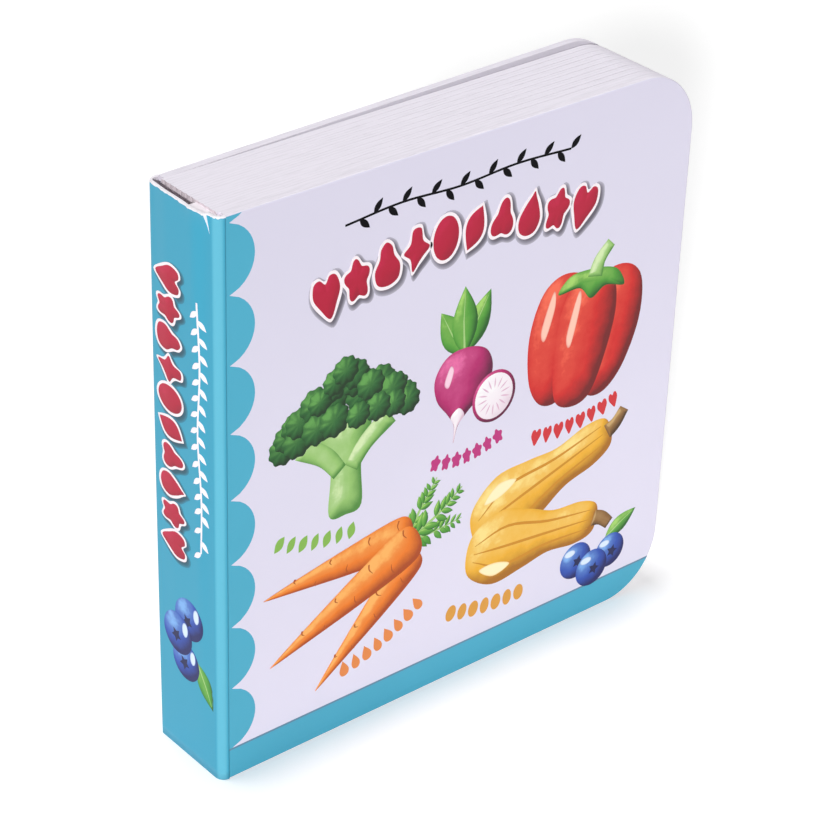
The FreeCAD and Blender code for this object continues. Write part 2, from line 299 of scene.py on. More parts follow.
def flat_ink(name, tint, specular=SPECULAR):
    """One solid printed colour under film, made once."""
    if name in bpy.data.materials:
        return bpy.data.materials[name]
    material, tree, shader, place = laminated_material(name)
    shader.inputs["Specular IOR Level"].default_value = specular
    clouds = add_node(tree, "ShaderNodeTexNoise", {"Vector": place, "Scale": per_mm(25.0), "Detail": 2.0})
    colour_surface(tree, shader, clouds, [(0.35, dimmed(tint, 0.96)), (0.65, tint)])
    return material


def spine_laminate(name, tint, stretched_and_highlit):
    """Film over the card of the wrap, paler where the card bends: partly stretched film, partly a painted
    highlight on the fold.
    """
    material, tree, shader, _ = laminated_material(name)
    # Where the card bends, the fold colour gives the paler stretched film and a painted highlight.
    bend = add_node(tree, "ShaderNodeAttribute", attribute_name="bend").outputs["Fac"]
    colour_surface(tree, shader, bend, [(0.15, tint), (0.85, stretched_and_highlit)], "EASE")
    return material


INKS = {
    "leaf_green": ("#1F5A1C", "#4E9A33", "#A6D46A"),
    "deep_green": ("#0D2E10", "#24602A", "#5FA04C"),
    "stalk_green": ("#4F8A3A", "#93C26B", "#D6EBB4"),
    "pepper_red": ("#6E0D10", "#D0201C", "#F56A4E"),
    "carrot_orange": ("#A94408", "#EC7A18", "#FBB45E"),
    "squash_gold": ("#A86A0E", "#EDB02C", "#FBE08A"),
    "radish_magenta": ("#5E0B3A", "#B31E68", "#E76BA4"),
    "radish_flesh": ("#D9B9CC", "#F4EAF1", "#FFFFFF"),
    "berry_blue": ("#161A5C", "#2B4FB0", "#7FB2EC"),
    "wood_brown": ("#4A3014", "#8A6130", "#C9A46A"),
}


def ink(name):
    """The printed ink of that name, made once."""
    return bpy.data.materials.get(name) or printed_ink(name, *INKS[name])


# Outlines on a printed face, in millimetres, anticlockwise


def ellipse(width, height, count=36):
    """An ellipse about the origin, width by height."""
    turn = 2 * math.pi / count
    return [
        Vector((width / 2 * math.cos(step * turn), height / 2 * math.sin(step * turn)))
        for step in range(count)
    ]


def polar(radius_at, count=48):
    """A closed outline about the origin, from its radius at each turn."""
    points = []
    for step in range(count):
        turn = 2 * math.pi * step / count
        points.append(radius_at(turn) * Vector((math.cos(turn), math.sin(turn))))
    return points


def smooth_stretch(before, start, end, after, steps):
    """Points from start up to end, on a smooth curve through all four."""
    points = []
    for step in range(steps):
        t = step / steps
        bend = (2 * before - 5 * start + 4 * end - after) * t**2
        twist = (3 * start - before - 3 * end + after) * t**3
        points.append(0.5 * (2 * start + (end - before) * t + bend + twist))
    return points


def smooth_loop(corners, steps=6):
    """A closed smooth curve through a few points."""
    corners = [Vector(corner) for corner in corners]
    count = len(corners)
    points = []
    for number in range(count):
        points += smooth_stretch(*(corners[(number + shift) % count] for shift in (-1, 0, 1, 2)), steps)
    return points


def smooth_path(corners, steps=5):
    """An open smooth curve through a few points."""
    corners = [Vector(corner) for corner in corners]
    ends = [2 * corners[0] - corners[1], *corners, 2 * corners[-1] - corners[-2]]
    points = []
    for number in range(len(corners) - 1):
        points += smooth_stretch(*ends[number : number + 4], steps)
    return points + [corners[-1]]


def mirrored_outline(outline):
    """The outline on the other side of the upright axis, still anticlockwise."""
    return [Vector((-x, y)) for x, y in reversed(outline)]


def mirrored(half):
    """The points of a right half, from bottom to top, with their mirror image."""
    return [Vector(point) for point in half] + mirrored_outline([point for point in half if point[0] != 0])


def leaf_outline(long, wide, count=10, belly=0.45):
    """A pointed leaf from the origin along x, widest at its belly."""
    lower = []
    for step in range(count + 1):
        share = step / count
        swell = math.sin(math.pi * share ** (math.log(0.5) / math.log(belly)))
        lower.append(Vector((long * share, -wide / 2 * swell)))
    upper = [Vector((point.x, -point.y)) for point in reversed(lower[1:-1])]
    return lower + upper


def stroke_outline(path, widths):
    """A stem along a path, with a width at each of its points."""
    path = [Vector(point) for point in path]
    sides = []
    for number, point in enumerate(path):
        ahead = path[min(number + 1, len(path) - 1)] - path[max(number - 1, 0)]
        side = Vector((ahead.y, -ahead.x)).normalized() * widths[number] / 2
        sides.append((point + side, point - side))
    return [right for right, _ in sides] + [left for _, left in reversed(sides)]


def outward(outline):
    """The outward direction at each point of an anticlockwise outline."""
    count = len(outline)
    sides = []
    for number in range(count):
        ahead = outline[(number + 1) % count] - outline[number - 1]
        sides.append(Vector((ahead.y, -ahead.x)).normalized())
    return sides


# Printed faces and the ink on them


class Face:
    """A printed face: where its drawing starts, its two directions, its outside and its body."""

    def __init__(self, start, across, out, body):
        self.start = Vector(start)
        self.across = Vector(across).normalized()
        self.up = Vector((0, 0, 1))
        self.out = Vector(out).normalized()
        self.body = body
        self.mirrored = self.across.cross(self.up).dot(self.out) < 0

    def at(self, point, height):
        """A point of the drawing, in millimetres, in the row frame."""
        drawn = self.across * point[0] + self.up * point[1] + self.out * height
        return self.start + drawn * MM

    def follow(self, mesh):
        """Lays a finished drawing on the face. A flat face changes nothing."""


def outer_normal(node, way):
    """The normal of the largest face of a CAD node on the side that way points to."""
    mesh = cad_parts[node].data
    facing = [polygon for polygon in mesh.polygons if polygon.normal.dot(way) > 0.9]
    return max(facing, key=lambda polygon: polygon.area).normal.copy()


def front_face():
    """The front cover's outer face, measured from the spine's face and the tail."""
    return Face(NEAR_CORNER, (1, 0, 0), (0, -1, 0), "front_cover")


# The spine card, in millimetres. Depths run from the front cover's face.
WRAP = 0.45
BACK_FOLD = 0.7
BACK_FOLD_GAIN = 0.9
PANEL_END = SPINE_WIDTH - 1.7
PANEL_STEPS = 26
PANEL_COLUMNS = [CREASE + (PANEL_END - CREASE) * step / PANEL_STEPS for step in range(PANEL_STEPS + 1)]
# The bow grows over its first millimetres, and is a little less at the back.
HEAD_BOW = 0.8
BOW_RUN = 4.3
EASE_START = 12
BOW_EASE = 0.3
TEAR_LENGTH = 3.3
TEAR_START = 0.08
TEAR_SLANT = 0.8
TEAR_GAP = 0.03
TEAR_GAP_GAIN = 0.05
TEAR_END = 9.0
TEAR_BOW = 0.65
RIM = 0.28
RAGGED = (-0.12, 0.1)
JOINT_GAP = 0.03


def eased(value, low, high):
    """Runs smoothly from 0 at one value to 1 at another."""
    share = max(0.0, min(1.0, (value - low) / (high - low)))
    return share * share * (3 - 2 * share)


COLUMN_BOWS = [
    HEAD_BOW * eased(depth, CREASE, CREASE + BOW_RUN) * (1 - BOW_EASE * eased(depth, EASE_START, PANEL_END))
    for depth in PANEL_COLUMNS
]


def panel_bow(depth, height):
    """How far the card stands out, more towards the head, and straight from column to column."""
    place = (depth - CREASE) / (PANEL_END - CREASE) * PANEL_STEPS
    place = max(0.0, min(PANEL_STEPS - 0.001, place))
    before = int(place)
    bow = COLUMN_BOWS[before] + (COLUMN_BOWS[before + 1] - COLUMN_BOWS[before]) * (place - before)
    return bow * height / BOOK_HEIGHT


def tear_share(height):
    """From 0 at the foot of the tear to 1 at the head."""
    return max(0.0, 1 - (BOOK_HEIGHT - height) / TEAR_LENGTH)


def tear_depth(height):
    """Where the card is torn, on a line that slants away from the front fold."""
    return CREASE + TEAR_START + TEAR_SLANT * tear_share(height)


def torn_bow(depth, height):
    """How far the card springs out behind the tear."""
    beyond = max(0.0, (TEAR_END - depth) / (TEAR_END - tear_depth(height)))
    return TEAR_BOW * tear_share(height) ** 1.6 * min(1.0, beyond) ** 1.5


# A drawing on the spine is cut in rows this many millimetres high.
INK_ROW = 4


class SpineFace(Face):
    """The spine's outer face, measured from its back edge and the tail, on the bowed card."""

    def __init__(self):
        super().__init__((SPINE_LOW.x, SPINE_HIGH.y, SPINE_LOW.z), (0, -1, 0), (-1, 0, 0), "block")

    def follow(self, mesh):
        """Cuts a drawing along the card's columns and moves it out with the card."""
        drawing = bmesh.new()
        drawing.from_mesh(mesh)
        cuts = [((0, SPINE_LOW.y + depth * MM, 0), (0, 1, 0)) for depth in PANEL_COLUMNS]
        cuts += [((0, 0, height * MM), (0, 0, 1)) for height in range(INK_ROW, int(BOOK_HEIGHT), INK_ROW)]
        for place, normal in cuts:
            parts = drawing.verts[:] + drawing.edges[:] + drawing.faces[:]
            bmesh.ops.bisect_plane(drawing, geom=parts, plane_co=place, plane_no=normal, dist=1e-8)
        for vertex in drawing.verts:
            depth = (vertex.co.y - SPINE_LOW.y) / MM
            vertex.co.x -= panel_bow(depth, (vertex.co.z - SPINE_LOW.z) / MM) * MM
        drawing.to_mesh(mesh)
        drawing.free()


def back_face():
    """The back cover's outer face, measured from the spine's face and the tail, as it stands open."""
    out = outer_normal("back_cover", Vector((0, 1, 0)))
    across = Vector((out.y, -out.x, 0))
    crease = Vector((SPINE_HIGH.x, SPINE_HIGH.y, SPINE_LOW.z))
    return Face(crease - across * CREASE * MM, across, out, "back_cover")


INK_STEP = 0.002
INK_SUNK = 0.004
ROUND_RINGS = (1.0, 0.97, 0.9, 0.78, 0.6, 0.4, 0.2)


class Picture:
    """Thin ink shapes drawn one over another on a printed face, kept as one closed mesh each."""

    def __init__(self, name, face):
        self.name = name
        self.face = face
        self.level = 1
        self.vertices = []
        self.form = []
        self.polygons = []
        self.paints = []
        self.materials = []
        self.move_to((0, 0))

    def move_to(self, at, angle=0.0, size=1.0, flip=False):
        """Where the next shapes are drawn: moved, turned by degrees, scaled and perhaps flipped."""
        self.offset = Vector(at)
        self.turn = Matrix.Rotation(math.radians(angle), 2)
        self.size = size
        self.flip = flip

    def placed(self, points):
        """Points of a shape, where they fall on the face."""
        if self.flip:
            points = [Vector((point[0], -point[1])) for point in reversed(points)]
        return [self.turn @ (Vector(point) * self.size) + self.offset for point in points]

    def shape(self, outline, material, axis=None, rings=ROUND_RINGS, roll=0.95, lift=1):
        """A flat shape, or one drawn round about an axis that runs between two of its points."""
        self.level += lift
        outline = self.placed(outline)
        first = len(self.vertices)
        count = len(outline)
        height = self.level * INK_STEP
        sides = outward(outline)
        if axis is None:
            layers = [(outline, 0.0)]
        else:
            start, end = self.placed([axis[0], axis[-1]])
            layers = []
            for ring in rings:
                pulled = []
                for point in outline:
                    heart = nearest_on(point, start, end)
                    pulled.append(heart + (point - heart) * ring)
                layers.append((pulled, ring * roll))
        for points, tilt in layers:
            for point, side in zip(points, sides):
                self.vertices.append(self.face.at(point, height))
                self.form.append((side.x * tilt, side.y * tilt, math.sqrt(1 - tilt * tilt)))
        for point, side in zip(outline, sides):
            self.vertices.append(self.face.at(point, -INK_SUNK))
            self.form.append((0.0, 0.0, 1.0))
        bottom = first + len(layers) * count
        if material not in self.materials:
            self.materials.append(material)
        paint = self.materials.index(material)
        for layer in range(len(layers) - 1):
            outer, inner = first + layer * count, first + (layer + 1) * count
            self.band(outer, inner, count, paint)
        top = first + (len(layers) - 1) * count
        self.add([top + step for step in range(count)], paint)
        self.band(bottom, first, count, paint)
        self.add([bottom + step for step in reversed(range(count))], paint)

    def band(self, outer, inner, count, paint):
        """A closed band of faces between two rings."""
        for step in range(count):
            after = (step + 1) % count
            self.add([outer + step, outer + after, inner + after, inner + step], paint)

    def add(self, corners, paint):
        self.polygons.append(corners[::-1] if self.face.mirrored else corners)
        self.paints.append(paint)

    def finish(self):
        """Makes the object and lets it ride on the body of its face."""
        mesh = bpy.data.meshes.new(self.name)
        mesh.from_pydata(self.vertices, [], self.polygons)
        set_materials(mesh, self.materials, self.paints)
        form = mesh.attributes.new("form", "FLOAT_VECTOR", "POINT")
        form.data.foreach_set("vector", [value for normal in self.form for value in normal])
        self.face.follow(mesh)
        mesh.update()
        piece = add_object(self.name, mesh)
        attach(piece, self.face.body)


def nearest_on(point, start, end):
    """The point of a stretch that lies nearest to a point."""
    along = end - start
    if along.length_squared < 1e-12:
        return start
    share = max(0.0, min(1.0, (point - start).dot(along) / along.length_squared))
    return start + along * share


# Motifs, each about its own origin


def draw_leaf(picture, at, angle, long, wide):
    """A printed leaf, with a paler midrib."""
    picture.move_to(at, angle)
    middle = ((0.12 * long, 0), (0.85 * long, 0))
    rings = (1.0, 0.8, 0.5, 0.25)
    picture.shape(leaf_outline(long, wide), ink("leaf_green"), middle, rings=rings)
    along = [(0, 0), (0.5 * long, 0.02 * long), (0.9 * long, 0)]
    rib = stroke_outline(along, (0.05 * wide + 0.2, 0.25, 0.08))
    picture.shape(rib, ink("stalk_green"))


def draw_pepper(picture, at, angle, size):
    """A bell pepper: two side lobes behind a middle one, with a green cap and stem."""
    picture.move_to(at, angle, size)
    red = ink("pepper_red")
    side = [(-7, -12.5), (-2.5, -11), (-0.5, 0), (-2, 10), (-7, 12), (-11.5, 9), (-13, 1), (-11, -8)]
    side_lobe = smooth_loop(side)
    picture.shape(side_lobe, red, ((-7, -6), (-7.5, 6)))
    picture.shape(mirrored_outline(side_lobe), red, ((7.5, 6), (7, -6)))
    half = [(0, -14), (4.2, -12), (6.2, -4), (6.6, 4), (4.5, 10), (0, 11.5)]
    picture.shape(smooth_loop(mirrored(half)), red, ((0, -7), (0, 5)))
    gleam = faded_ink("pepper_gleam", "#D0201C", "#FFC9B4")
    picture.shape(smooth_loop([(-10.5, 2), (-9.2, 0), (-8.2, 6), (-9.2, 9)]), gleam, ((-9.5, 2), (-9, 7)))
    picture.shape(smooth_loop([(-4.2, 0), (-2.8, -2), (-2.2, 6), (-3.2, 8)]), gleam, ((-3.2, 0), (-3, 6)))
    cap = [(0, 6.5), (3, 8.5), (7.5, 8), (5.5, 11), (2.2, 12)]
    cap += [(-2.2, 12), (-6, 11.2), (-8, 8.2), (-3.2, 8.8)]
    picture.shape(smooth_loop(cap), ink("leaf_green"), ((-3, 10), (3, 10)))
    widths = [3.4 - 0.12 * number for number in range(11)]
    stem = stroke_outline(smooth_path([(0, 10.5), (0.4, 13.5), (2.4, 16.5)]), widths)
    picture.shape(stem, ink("stalk_green"), ((0.2, 11.5), (2, 15.8)))


def draw_carrot(picture, at, angle, long, wide, draws):
    """A carrot from its shoulder along x, with fine rings across it."""
    picture.move_to(at, angle)
    lower = [(0, 0), (0.03, -0.4), (0.14, -0.5), (0.45, -0.36), (0.8, -0.16), (1, -0.02)]
    upper = [(1, 0.02), (0.8, 0.15), (0.45, 0.37), (0.14, 0.5), (0.03, 0.4)]
    body = smooth_loop([(x * long, y * wide) for x, y in lower + upper])
    picture.shape(body, ink("carrot_orange"), ((0.14 * long, 0), (0.95 * long, 0)))
    ring_ink = faded_ink("carrot_ring", "#E8750F", "#B04C06")
    for number in range(7):
        along = long * (0.08 + 0.12 * number + draws.uniform(-0.02, 0.02))
        half = wide * (0.48 - 0.36 * along / long)
        side = 1 if number % 2 else -1
        reach = half * draws.uniform(0.5, 0.8)
        middle, end = side * (half - reach / 2), side * (half - reach)
        arc = smooth_path([(along, side * half * 0.96), (along + 0.35, middle), (along, end)], 3)
        ring = stroke_outline(arc, [0.34, 0.32, 0.3, 0.26, 0.2, 0.14, 0.08])
        picture.shape(ring, ring_ink, lift=1 if number == 0 else 0)


def draw_frond(picture, at, angle, long, draws):
    """A feathery carrot frond: a thin stem with small leaflets in pairs."""
    picture.move_to(at, angle)
    bend = draws.uniform(-0.12, 0.12) * long
    path = smooth_path([(0, 0), (0.5 * long, bend), (long, bend * 0.4)])
    widths = [0.8 - 0.06 * number for number in range(len(path))]
    picture.shape(stroke_outline(path, widths), ink("stalk_green"))
    pairs = 7
    for number in range(pairs):
        share = 0.28 + 0.7 * number / (pairs - 1)
        root = path[min(len(path) - 1, int(share * (len(path) - 1)))]
        reach = long * 0.3 * (1.15 - share * 0.75)
        for side in (-1, 1):
            picture.move_to(at, angle)
            placed_root = picture.placed([root])[0]
            picture.move_to(placed_root, angle + side * draws.uniform(38, 60))
            blade = leaf_outline(reach, reach * 0.42, count=6)
            picture.shape(blade, ink("leaf_green"), ((0.1, 0), (reach * 0.9, 0)), rings=(1.0, 0.6))


def draw_radish(picture, at, angle, size):
    """A round radish with a pale root tip and two leaves."""
    picture.move_to(at, angle, size)
    half = [(0, -13), (0.5, -9.5), (2.4, -7), (5.6, -3.6), (6.8, 0.8), (4.6, 4.8), (0, 6)]
    picture.shape(smooth_loop(mirrored(half)), ink("radish_magenta"), ((0, -5), (0, 1)))
    tip = smooth_loop(mirrored([(0, -13), (0.4, -9.6), (1.6, -7.6), (0, -6)]))
    picture.shape(tip, ink("radish_flesh"), ((0, -9), (0, -7.5)))
    gleam = faded_ink("radish_gleam", "#B31E68", "#FBD3E4")
    spot = smooth_loop([(-4.4, -0.5), (-3.2, -1.4), (-2.6, 1.8), (-3.6, 2.8)])
    picture.shape(spot, gleam, ((-3.5, 0), (-3.3, 1.6)))


def draw_cut_radish(picture, at, angle, size):
    """Half a radish, its pale flesh showing fine rays."""
    picture.move_to(at, angle, size)
    picture.shape(ellipse(11.4, 11.8), ink("radish_magenta"), ((0, 0), (0, 0)))
    picture.shape(ellipse(10.0, 10.4), ink("radish_flesh"), ((0, 0), (0, 0)), roll=0.5)
    ray_ink = faded_ink("radish_ray", "#F1DCE8", "#DDB4CC")
    ray = [point + Vector((1.8, 0)) for point in leaf_outline(2.6, 0.34, count=5)]
    rays = 14
    for number in range(rays):
        picture.move_to(at, angle + 360 / rays * number, size)
        picture.shape(ray, ray_ink, lift=1 if number == 0 else 0)


def draw_broccoli(picture, at, size, draws):
    """Broccoli: pale branching stalk under a crown of small round buds."""
    picture.move_to(at, 0, size)
    stalk_ink = ink("stalk_green")
    trunk = [(-3.4, -17), (0.2, -18), (3.6, -17), (3.4, -8), (5.5, 0), (0, 2), (-5.5, 0), (-3.2, -8)]
    picture.shape(smooth_loop(trunk), stalk_ink, ((0, -14), (0, -3)))
    for side in (-1, 1):
        path = smooth_path([(side * 1.2, -9), (side * 4.4, -5), (side * 9.5, -1.5)])
        branch = stroke_outline(path, [3.2 + 0.1 * number for number in range(11)])
        picture.shape(branch, stalk_ink, ((side * 2.2, -8), (side * 8.0, -2.4)))
    tiers = ((13.0, 4.6, 10), (10.2, 6.6, 8), (6.4, 8.0, 6), (2.4, 8.4, 3))
    for tier, (reach, rise, buds) in enumerate(tiers):
        for number in range(buds):
            share = number / (buds - 1)
            swing = math.pi * (1.08 * share - 0.04)
            heart = Vector((-reach * math.cos(swing), 0.6 + rise * math.sin(swing) + 0.5 * tier))
            heart += Vector((draws.uniform(-0.5, 0.5), draws.uniform(-0.5, 0.5)))
            bud = [point + heart for point in bumpy_disc(draws.uniform(5.0, 6.4), draws)]
            picture.shape(bud, ink("deep_green"), (heart, heart), rings=(1.0, 0.9, 0.7, 0.45, 0.2))


def bumpy_disc(wide, draws):
    """A small disc with a knobbly edge."""
    lobes = 9
    start = draws.uniform(0, 2 * math.pi)
    return polar(lambda turn: wide / 2 * (1 + 0.07 * math.cos(lobes * turn + start)), lobes * 4)


def draw_squash(picture, at, angle, size, flip=False):
    """A pear-shaped squash along x, with faint ribs and a woody stem."""
    picture.move_to(at, angle, size, flip)
    half = [(-17, 0), (-15.5, -5), (-9, -8.2), (-1.5, -6.6), (5, -4.7), (12, -4.8), (16.6, -3.4), (17.6, 0)]
    whole = half + [(x, -y) for x, y in reversed(half[1:-1])]
    picture.shape(smooth_loop(whole), ink("squash_gold"), ((-9, 0), (12, 0)))
    rib_ink = faded_ink("squash_rib", "#EBAC28", "#CE8A18")
    for rise in (-3.4, 0.2, 3.6):
        path = smooth_path([(-15, rise * 0.5), (-7, rise * 1.25), (4, rise * 0.75), (15.5, rise * 0.6)])
        widths = [0.15 + 0.5 * math.sin(math.pi * number / 15) for number in range(16)]
        picture.shape(stroke_outline(path, widths), rib_ink, lift=1 if rise < -3 else 0)
    gleam = faded_ink("squash_gleam", "#F0BC40", "#FFF3C4")
    spot = smooth_loop([(-13, 4.2), (-9, 3.4), (-5, 4.6), (-9, 6.4)])
    picture.shape(spot, gleam, ((-11, 4.7), (-7, 4.9)))
    widths = [3.6 - 0.1 * number for number in range(11)]
    stem = stroke_outline(smooth_path([(16.6, 0), (19, 0.6), (21.5, 2.4)]), widths)
    picture.shape(stem, ink("wood_brown"), ((17.4, 0.2), (21, 2)))


def draw_berries(picture, at, size, angle=0.0):
    """Three blue berries with star-shaped crowns, and a leaf."""
    picture.move_to(at, angle, size)
    draw_leaf(picture, picture.placed([(3, 3)])[0], angle + 28, 9.5 * size, 4.2 * size)
    gleam = faded_ink("berry_gleam", "#3A66C4", "#DCEBFB")
    for x, y, wide in ((-5.2, 0.6, 8.6), (4.6, -0.6, 8.2), (-0.4, -3.0, 8.8)):
        picture.move_to(at, angle, size)
        picture.move_to(picture.placed([(x, y)])[0], angle, size)
        picture.shape(ellipse(wide, wide), ink("berry_blue"), ((0, 0), (0, 0)))
        crown = polar(lambda turn: 1.55 if math.cos(5 * turn) > 0 else 0.8, 10)
        crown = [point + Vector((0.7, -0.5)) for point in crown]
        picture.shape(crown, flat_ink("crown_blue", linear("#10164A")))
        middle = Vector((-wide * 0.2, wide * 0.26))
        glint = [point + middle for point in ellipse(wide * 0.36, wide * 0.2, 20)]
        reach = Vector((wide * 0.04, 0))
        picture.shape(glint, gleam, (middle - reach, middle + reach))


HEART = smooth_loop(
    mirrored([(0, -1.0), (0.62, -0.35), (1.0, 0.25), (0.84, 0.86), (0.38, 0.97), (0, 0.68)]), 5
)
DROP = smooth_loop(
    mirrored([(0, -1.0), (0.66, -0.8), (0.88, -0.25), (0.56, 0.35), (0.2, 0.78), (0, 1.02)]), 5
)
PEAR = smooth_loop(mirrored([(0, -1), (0.78, -0.8), (0.95, -0.2), (0.56, 0.3), (0.42, 0.75), (0, 1)]), 5)
STAR = smooth_loop(polar(lambda turn: 1.0 if math.cos(5 * (turn - math.pi / 2)) > 0 else 0.6, 10), 5)
CLOVER = polar(lambda turn: 0.8 + 0.2 * math.cos(3 * (turn - math.pi / 2)))
BLOSSOM = polar(lambda turn: 0.85 + 0.15 * math.cos(5 * (turn - math.pi / 2)), 60)
DISC = ellipse(2.0, 2.0, 40)
LEAF = [
    Matrix.Rotation(math.radians(66), 2) @ (point - Vector((1.05, 0)))
    for point in leaf_outline(2.1, 1.5, 14, belly=0.5)
]
GARLAND_SHAPES = (HEART, BLOSSOM, PEAR, STAR, DISC, LEAF, CLOVER, DROP, BLOSSOM, HEART)


def swollen(outline, middle, amount):
    """The outline moved away from its middle, so that a notch can't fold over itself."""
    return [point + (point - middle).normalized() * amount for point in outline]


def draw_garland(picture, places, wide, high, line, shade_shift, inks):
    """Crimson shapes in a row, each with a white line round it and a soft shade to one side."""
    crimson, white, shade = inks
    picture.move_to((0, 0))
    bodies = []
    for outline, (at, angle) in zip(GARLAND_SHAPES, places):
        turn = Matrix.Rotation(math.radians(angle), 2)
        middle = Vector(at)
        body = [turn @ Vector((point.x * wide / 2, point.y * high / 2)) + middle for point in outline]
        bodies.append((body, middle))
    for body, middle in bodies:
        moved = [point + shade_shift for point in swollen(body, middle, line * 2.1)]
        heart_of_shade = (middle + shade_shift, middle + shade_shift)
        picture.shape(moved, shade, heart_of_shade, rings=(1.0, 0.95, 0.9, 0.85, 0.78))
    for number, (body, middle) in enumerate(bodies):
        picture.shape(swollen(body, middle, line), white, lift=1 if number < 2 else 0)
    for number, (body, middle) in enumerate(bodies):
        picture.shape(body, crimson, (middle, middle), roll=0.55, lift=1 if number == 0 else 0)


def draw_sprig(picture, path, leaf_long, material, width=0.42):
    """A thin stem with small leaves to either side in turn."""
    picture.move_to((0, 0))
    stem = smooth_path(path, 8)
    picture.shape(stroke_outline(stem, [width] * len(stem)), material)
    travelled = 0.0
    side = 1
    for number in range(1, len(stem)):
        step = stem[number] - stem[number - 1]
        travelled += step.length
        if travelled < leaf_long * 0.56:
            continue
        travelled = 0.0
        side = -side
        heading = math.degrees(math.atan2(step.y, step.x))
        picture.move_to(stem[number], heading + side * 48)
        picture.shape(leaf_outline(leaf_long, leaf_long * 0.42, count=8), material)


def draw_small_row(picture, outline, start, end, rise, count, size, material):
    """A short arched row of small shapes beside a picture."""
    start, end = Vector(start), Vector(end)
    along = end - start
    side = Vector((-along.y, along.x)).normalized()
    heading = math.degrees(math.atan2(along.y, along.x))
    for number in range(count):
        share = number / (count - 1)
        at = start + along * share + side * rise * 4 * share * (1 - share)
        lean = math.degrees(math.atan(4 * rise * (1 - 2 * share) / along.length))
        picture.move_to(at, heading + lean, size)
        wide = 0.62 if number % 2 else 0.7
        picture.shape([Vector((point.x * wide, point.y)) for point in outline], material, lift=0)


# Operators


# Everything of the leaves left of this is in the hollow of the spine.
FOLD_LIMIT = SPINE_HIGH.x + 0.6 * MM
# How squarely a flat face of a cover or a leaf points to the front or the back, at least.
FLAT = 0.9


class BOARDBOOK_OT_card(bpy.types.Operator):
    """Give the covers and the leaves their card, film and cut edges"""

    bl_idname = "board_book.card"
    bl_label = "Card and Film"

    def execute(self, context):
        colours = context.scene.board_book_colours
        card = tuple(colours.card)
        ground = laminated_ground("pale_laminated_board", tuple(colours.ground), tuple(colours.ground_low))
        inside = laminated_ground("white_laminated_board", card, card)
        flat_edge = cut_card("cut_board_edge", card, (True, False, True))
        for node, way in (("front_cover", -1), ("back_cover", 1)):
            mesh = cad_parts[node].data
            facings = [polygon.normal.y * way for polygon in mesh.polygons]
            kinds = [1 if facing > 0.75 else 2 if facing < -FLAT else 0 for facing in facings]
            set_materials(mesh, (flat_edge, ground, inside), kinds)
        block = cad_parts["page_block"].data
        leaves = cut_card("trimmed_leaf_edges", card, (True, False, True), plies=True)
        # The leaf folds in the hollow of the spine get a darker, browner tint: partly aged glue, partly
        # painted shade in the hollow.
        folds = cut_card("glued_leaf_folds", linear("#DCD0D6"), (False, False, True))
        kinds = []
        for polygon in block.polygons:
            at_spine = polygon.center.x < FOLD_LIMIT and abs(polygon.normal.z) < 0.5
            kinds.append(2 if at_spine else 1 if abs(polygon.normal.y) > FLAT else 0)
        set_materials(block, (leaves, inside, folds), kinds)
        return {"FINISHED"}


FRONT_STEPS = 12
BACK_STEPS = 7


def card_line(height):
    """The spine card at a height, from crease to crease: points outside and inside, and how bent it is."""
    points = []
    centre = Vector((CREASE, CREASE))
    for step in range(FRONT_STEPS):
        turn = math.pi / 2 * step / FRONT_STEPS
        side = Vector((-math.sin(turn), -math.cos(turn)))
        points.append((centre + CREASE * side, centre + (CREASE - WRAP) * side, math.sin(2 * turn)))
    # Two columns stand on either side of the tear, and the others keep their places.
    tear = tear_depth(height)
    gap = TEAR_GAP + TEAR_GAP_GAIN * tear_share(height)
    depths = [CREASE, tear - gap / 2, tear + gap / 2]
    depths += [depth for depth in PANEL_COLUMNS if depth > CREASE + 1]
    for number, depth in enumerate(depths):
        out = panel_bow(depth, height) + (torn_bow(depth, height) if number > 1 else 0.0)
        points.append((Vector((-out, depth)), Vector((WRAP - out, depth)), 0.0))
    radius = BACK_FOLD + BACK_FOLD_GAIN * (height / BOOK_HEIGHT) ** 2
    centre = Vector((radius, SPINE_WIDTH - radius))
    line = []
    for step in range(BACK_STEPS + 1):
        turn = math.pi / 2 * step / BACK_STEPS
        side = Vector((-math.cos(turn), math.sin(turn)))
        line.append((centre + radius * side, centre + (radius - WRAP) * side))
    end = CREASE - JOINT_GAP
    line.append((Vector((end, SPINE_WIDTH)), Vector((end, SPINE_WIDTH - WRAP))))
    for outer, inner in line:
        out = Vector((panel_bow(outer.y, height) * eased(CREASE - outer.x, 0, CREASE), 0))
        points.append((outer - out, inner - out, 0.0))
    return points


# The strip between the two columns beside the tear.
TEAR_PLACE = FRONT_STEPS + 1
# Rows are further apart below the torn and worn head.
ROW = 2.0
HEAD_START = 99.2
HEAD_ROW = 0.4
CARD_HEIGHTS = [ROW * step for step in range(50)] + [HEAD_START + HEAD_ROW * step for step in range(16)]
CARD_HEIGHTS += [BOOK_HEIGHT - RIM, BOOK_HEIGHT]


